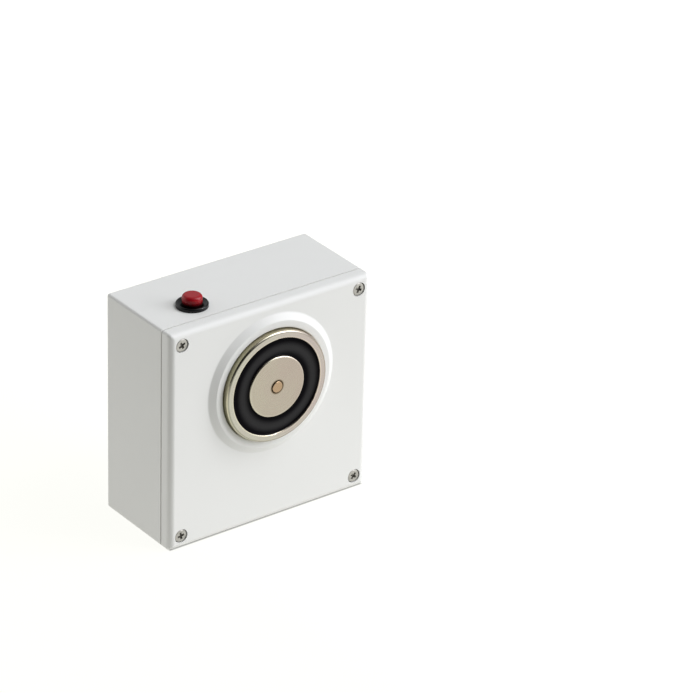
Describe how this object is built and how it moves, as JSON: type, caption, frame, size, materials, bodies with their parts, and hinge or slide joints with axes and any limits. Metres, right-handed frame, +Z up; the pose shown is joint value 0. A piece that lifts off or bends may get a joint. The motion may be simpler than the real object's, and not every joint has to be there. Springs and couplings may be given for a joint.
{
  "type": "magnetic door holder",
  "caption": "Square wall box with a round electromagnet in its front to hold a door open, a red release button on top and a sprung pin in the pole.",
  "frame": {"origin": "centre of the flat face that meets the wall", "axes": "+X to the right as seen from the door, +Y into the wall, +Z up; the magnet faces -Y"},
  "size_m": [0.11, 0.0554, 0.1158],
  "materials": {
    "white_abs": "satin injection moulding",
    "zinc_screw": "zinc-plated and rolled",
    "zinc_sheet": "zinc-plated pressed sheet",
    "plated_steel": "turned and ground face, thin clear plating",
    "natural_nylon": "injection moulding",
    "copper_winding": "layer-wound enamelled wire",
    "black_resin": "cast epoxy resin",
    "turned_brass": "turned",
    "spring_wire": "drawn wire",
    "black_gloss": "polished moulding",
    "red_cap": "satin moulding",
    "diode_black": "transfer-moulded epoxy",
    "red_wire": "extruded PVC",
    "black_wire": "extruded PVC",
    "black_rubber": "compression moulding"
  },
  "bodies": {
    "case": {"rear_box": "white_abs", "front_cover": "white_abs", "cover_screw_1": "zinc_screw", "cover_screw_2": "zinc_screw", "cover_screw_3": "zinc_screw", "cover_screw_4": "zinc_screw", "back_plate": "zinc_sheet", "magnet_bracket": "zinc_sheet", "bracket_screw_1": "zinc_screw", "bracket_screw_2": "zinc_screw", "bracket_screw_3": "zinc_screw", "bracket_screw_4": "zinc_screw", "magnet_bolt": "zinc_screw", "lock_washer": "zinc_screw", "magnet_pot": "plated_steel", "coil_bobbin": "natural_nylon", "coil_winding": "copper_winding", "resin_ring": "black_resin", "ejector_spring": "spring_wire", "button_housing": "black_gloss", "button_base": "black_gloss", "button_spring": "spring_wire", "wall_side_blade": "turned_brass", "door_side_blade": "turned_brass", "tooth_washer": "zinc_screw", "button_nut": "zinc_screw", "terminal_block": "natural_nylon", "terminal_insert_1": "turned_brass", "terminal_insert_2": "turned_brass", "clamp_screw_1": "zinc_screw", "clamp_screw_2": "zinc_screw", "clamp_screw_3": "zinc_screw", "clamp_screw_4": "zinc_screw", "block_screw": "zinc_screw", "suppression_diode": "diode_black", "feed_lead": "red_wire", "switched_lead": "red_wire", "return_lead": "black_wire", "cable_grommet": "black_rubber"},
    "button": {"button_cap": "red_cap", "contact_disc": "turned_brass"},
    "ejector": {"ejector_pin": "turned_brass"}
  },
  "joints": [
    {"name": "button_press", "type": "slide", "parent": "case", "child": "button", "axis": [0, 0, -1], "range_m": [0, 0.002], "stiffness_N_per_m": 1200, "springref_m": -0.003, "deforming": ["button_spring"]},
    {"name": "ejector_slide", "type": "slide", "parent": "case", "child": "ejector", "axis": [0, 1, 0], "range_m": [0, 0.003], "stiffness_N_per_m": 1500, "springref_m": -0.004, "deforming": ["ejector_spring"]}
  ]
}
